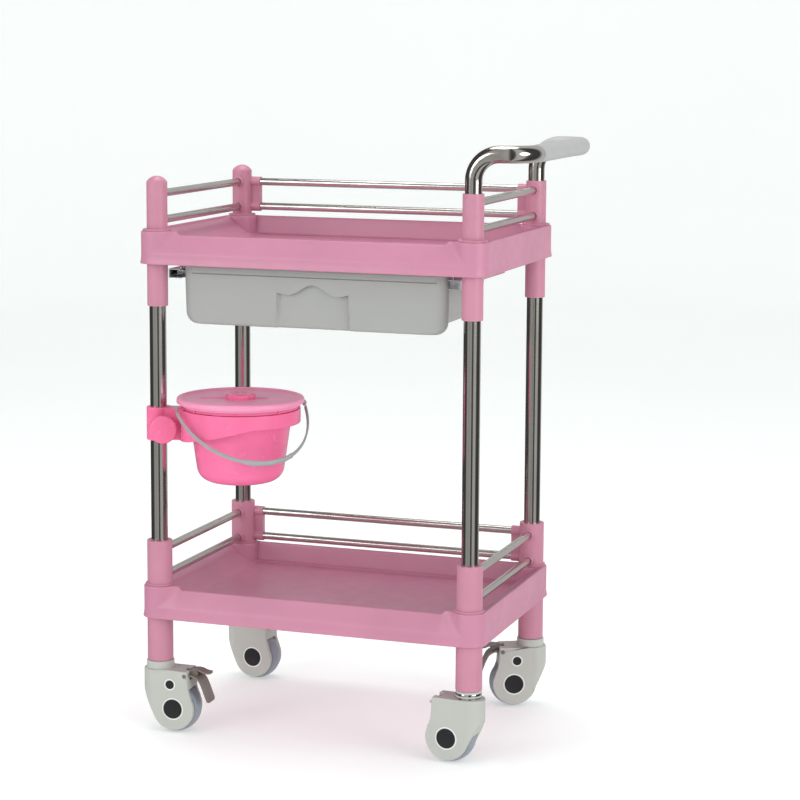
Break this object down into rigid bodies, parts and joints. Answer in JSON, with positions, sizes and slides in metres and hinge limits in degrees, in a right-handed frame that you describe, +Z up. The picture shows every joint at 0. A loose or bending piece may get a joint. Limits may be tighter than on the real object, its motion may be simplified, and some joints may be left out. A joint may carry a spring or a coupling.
{
  "type": "spa trolley cart",
  "caption": "Two-tier treatment trolley with guard rails, under-tray drawer, push handle, swivel casters with foot brakes and a lidded pail on a clamp-on holder",
  "frame": {"origin": "on the floor, below the middle of the trolley's outline with the pail in its holder and the drawer shut", "axes": "+Z up, +X along the trolley's length towards the push handle, -Y towards the open front where the drawer pulls out"},
  "size_m": [0.61, 0.4134, 0.9],
  "materials": {
    "tray_plastic": "moulded ABS with a soft sheen",
    "sleeve_plastic": "moulded ABS with a soft sheen",
    "polished_steel": "polished stainless tube",
    "grip_plastic": "light grey moulded plastic",
    "drawer_plastic": "grey moulded plastic, satin",
    "zinc_steel": "zinc-plated pressed steel",
    "pail_plastic": "moulded polypropylene with a soft sheen",
    "bail_wire": "light grey plastic over wire",
    "housing_plastic": "off-white nylon",
    "hub_plastic": "grey nylon",
    "tyre_rubber": "grey non-marking rubber",
    "plug_plastic": "black plastic",
    "pedal_metal": "grey painted pressed steel"
  },
  "bodies": {
    "frame": {"top_tray": "tray_plastic", "bottom_tray": "tray_plastic", "post_front_left": "polished_steel", "post_front_right": "polished_steel", "post_rear_left": "polished_steel", "post_rear_right": "polished_steel", "top_sleeve_front_left": "sleeve_plastic", "top_sleeve_front_right": "sleeve_plastic", "top_sleeve_rear_left": "sleeve_plastic", "top_sleeve_rear_right": "sleeve_plastic", "low_sleeve_front_left": "sleeve_plastic", "low_sleeve_front_right": "sleeve_plastic", "low_sleeve_rear_left": "sleeve_plastic", "low_sleeve_rear_right": "sleeve_plastic", "under_tray_sleeves": "sleeve_plastic", "leg_sleeves": "sleeve_plastic", "dome_caps": "sleeve_plastic", "top_rails_left": "polished_steel", "top_rails_rear": "polished_steel", "top_rails_right": "polished_steel", "low_rails_left": "polished_steel", "low_rails_rear": "polished_steel", "low_rails_right": "polished_steel", "handle_tube": "polished_steel", "handle_grip": "grip_plastic", "drawer_channel_left": "zinc_steel", "drawer_channel_right": "zinc_steel", "channel_screws": "zinc_steel", "caster_stems": "zinc_steel"},
    "drawer": {"drawer": "drawer_plastic", "drawer_runners": "zinc_steel"},
    "pail_holder": {"pail_holder": "pail_plastic"},
    "clamp_knob": {"clamp_knob": "pail_plastic", "clamp_screw": "zinc_steel"},
    "pail": {"pail": "pail_plastic"},
    "lid": {"pail_lid": "pail_plastic"},
    "bail": {"bail": "bail_wire", "bail_grip": "grip_plastic"},
    "caster_front_left": {"housing_front_left": "housing_plastic", "axle_front_left": "plug_plastic"},
    "wheel_front_left": {"tyre_front_left": "tyre_rubber", "hub_front_left": "hub_plastic"},
    "caster_front_right": {"housing_front_right": "housing_plastic", "axle_front_right": "plug_plastic"},
    "wheel_front_right": {"tyre_front_right": "tyre_rubber", "hub_front_right": "hub_plastic"},
    "caster_rear_left": {"housing_rear_left": "housing_plastic", "axle_rear_left": "plug_plastic"},
    "wheel_rear_left": {"tyre_rear_left": "tyre_rubber", "hub_rear_left": "hub_plastic"},
    "caster_rear_right": {"housing_rear_right": "housing_plastic", "axle_rear_right": "plug_plastic"},
    "wheel_rear_right": {"tyre_rear_right": "tyre_rubber", "hub_rear_right": "hub_plastic"},
    "pedal_front_left": {"brake_pedal_front_left": "pedal_metal"},
    "pedal_rear_right": {"brake_pedal_rear_right": "pedal_metal"}
  },
  "joints": [
    {"name": "drawer_slide", "type": "slide", "parent": "frame", "child": "drawer", "axis": [0, -1, 0], "range_m": [0, 0.13]},
    {"name": "holder_swing", "type": "hinge", "parent": "frame", "child": "pail_holder", "pos_m": [-0.2795, -0.14085, 0.473], "axis": [0, 0, 1], "range_deg": [-150, 60]},
    {"name": "clamp_knob_turn", "type": "hinge", "parent": "pail_holder", "child": "clamp_knob", "pos_m": [-0.26057, -0.16788, 0.468], "axis": [0.5736, -0.8192, 0], "continuous": true},
    {"name": "pail_lift", "type": "slide", "parent": "pail_holder", "child": "pail", "axis": [0, 0, 1], "range_m": [0, 0.06]},
    {"name": "lid_lift", "type": "slide", "parent": "pail", "child": "lid", "axis": [0, 0, 1], "range_m": [0, 0.04]},
    {"name": "bail_swing", "type": "hinge", "parent": "pail", "child": "bail", "pos_m": [-0.15973, -0.10876, 0.5005], "axis": [-0.766, -0.6428, 0], "range_deg": [0, 210]},
    {"name": "swivel_front_left", "type": "hinge", "parent": "frame", "child": "caster_front_left", "pos_m": [-0.2795, -0.14085, 0.097], "axis": [0, 0, 1], "continuous": true},
    {"name": "roll_front_left", "type": "hinge", "parent": "caster_front_left", "child": "wheel_front_left", "pos_m": [-0.25254, -0.13944, 0.0375], "axis": [-0.0523, 0.9986, 0], "continuous": true},
    {"name": "swivel_front_right", "type": "hinge", "parent": "frame", "child": "caster_front_right", "pos_m": [0.2125, -0.14085, 0.097], "axis": [0, 0, 1], "continuous": true},
    {"name": "roll_front_right", "type": "hinge", "parent": "caster_front_right", "child": "wheel_front_right", "pos_m": [0.1856, -0.1385, 0.0375], "axis": [-0.0872, -0.9962, 0], "continuous": true},
    {"name": "swivel_rear_left", "type": "hinge", "parent": "frame", "child": "caster_rear_left", "pos_m": [-0.2795, 0.18115, 0.097], "axis": [0, 0, 1], "continuous": true},
    {"name": "roll_rear_left", "type": "hinge", "parent": "caster_rear_left", "child": "wheel_rear_left", "pos_m": [-0.2526, 0.1788, 0.0375], "axis": [0.0872, 0.9962, 0], "continuous": true},
    {"name": "swivel_rear_right", "type": "hinge", "parent": "frame", "child": "caster_rear_right", "pos_m": [0.2125, 0.18115, 0.097], "axis": [0, 0, 1], "continuous": true},
    {"name": "roll_rear_right", "type": "hinge", "parent": "caster_rear_right", "child": "wheel_rear_right", "pos_m": [0.18747, 0.17104, 0.0375], "axis": [0.3746, -0.9272, 0], "continuous": true},
    {"name": "brake_front_left", "type": "hinge", "parent": "caster_front_left", "child": "pedal_front_left", "pos_m": [-0.23406, -0.13847, 0.089], "axis": [-0.0523, 0.9986, 0], "range_deg": [0, 9]},
    {"name": "brake_rear_right", "type": "hinge", "parent": "caster_rear_right", "child": "pedal_rear_right", "pos_m": [0.17031, 0.16411, 0.089], "axis": [0.3746, -0.9272, 0], "range_deg": [0, 9]}
  ]
}
